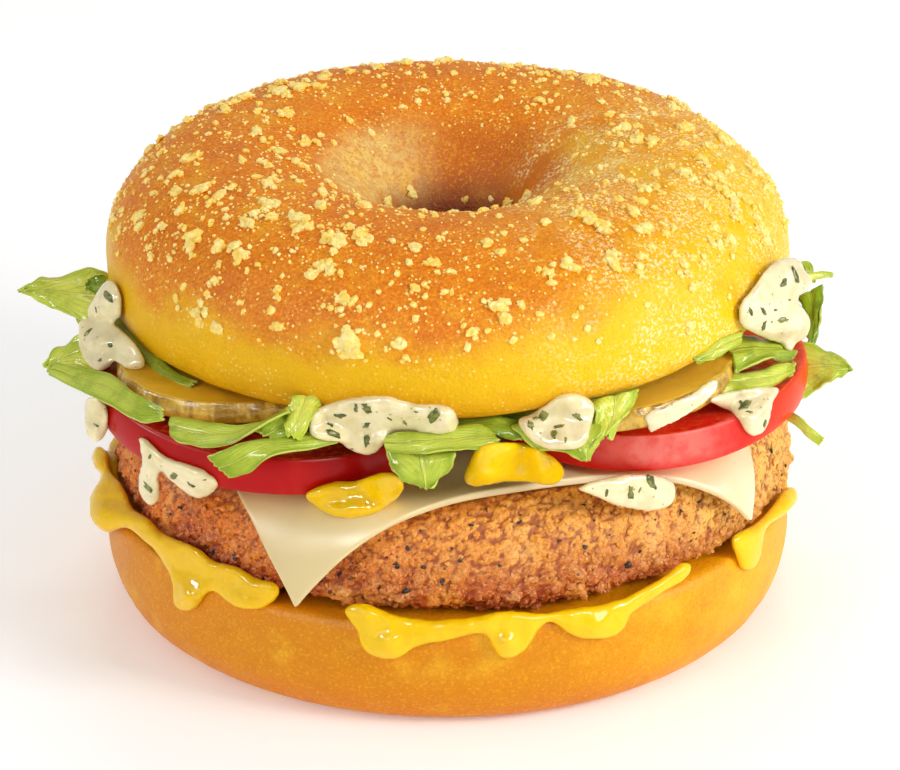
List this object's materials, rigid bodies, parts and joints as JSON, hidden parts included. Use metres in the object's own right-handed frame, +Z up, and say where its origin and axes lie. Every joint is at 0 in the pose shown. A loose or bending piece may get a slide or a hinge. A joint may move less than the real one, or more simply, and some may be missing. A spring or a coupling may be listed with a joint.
{
  "type": "veggie burger",
  "caption": "Breaded veggie patty with cheese, tomato, pickle, lettuce, herb sauce and yellow sauce in a cut cheese-topped ring roll.",
  "frame": {"origin": "on the surface that the burger stands on, under the middle of its outer box", "axes": "+Z up through the ring roll, +Y to the back, +X to the right as seen from the front"},
  "size_m": [0.134, 0.1202, 0.0783],
  "materials": {
    "bread": "baked crust with a soft sheen and cheese crumbs",
    "breading": "rough fried crumb coat",
    "yellow_sauce": "thick glossy sauce",
    "cheese": "soft, slightly waxy",
    "tomato": "wet cut face and glossy skin",
    "pickle": "wet",
    "lettuce": "crisp leaf with pale ribs",
    "herb_sauce": "creamy, with green flecks"
  },
  "bodies": {
    "root": {"bagel_bottom": "bread", "bagel_top": "bread", "patty": "breading", "yellow_sauce": "yellow_sauce", "yellow_dab_left": "yellow_sauce", "yellow_dab_right": "yellow_sauce", "cheese_slice": "cheese", "tomato_left": "tomato", "tomato_right": "tomato", "pickle_left": "pickle", "pickle_right": "pickle", "lettuce": "lettuce", "herb_sauce_left_top": "herb_sauce", "herb_sauce_left_drop": "herb_sauce", "herb_sauce_left_patty": "herb_sauce", "herb_sauce_front_left": "herb_sauce", "herb_sauce_front_right": "herb_sauce", "herb_sauce_cheese": "herb_sauce", "herb_sauce_tomato": "herb_sauce", "herb_sauce_right_top": "herb_sauce", "herb_sauce_back_left": "herb_sauce", "herb_sauce_back_right": "herb_sauce"}
  },
  "joints": []
}
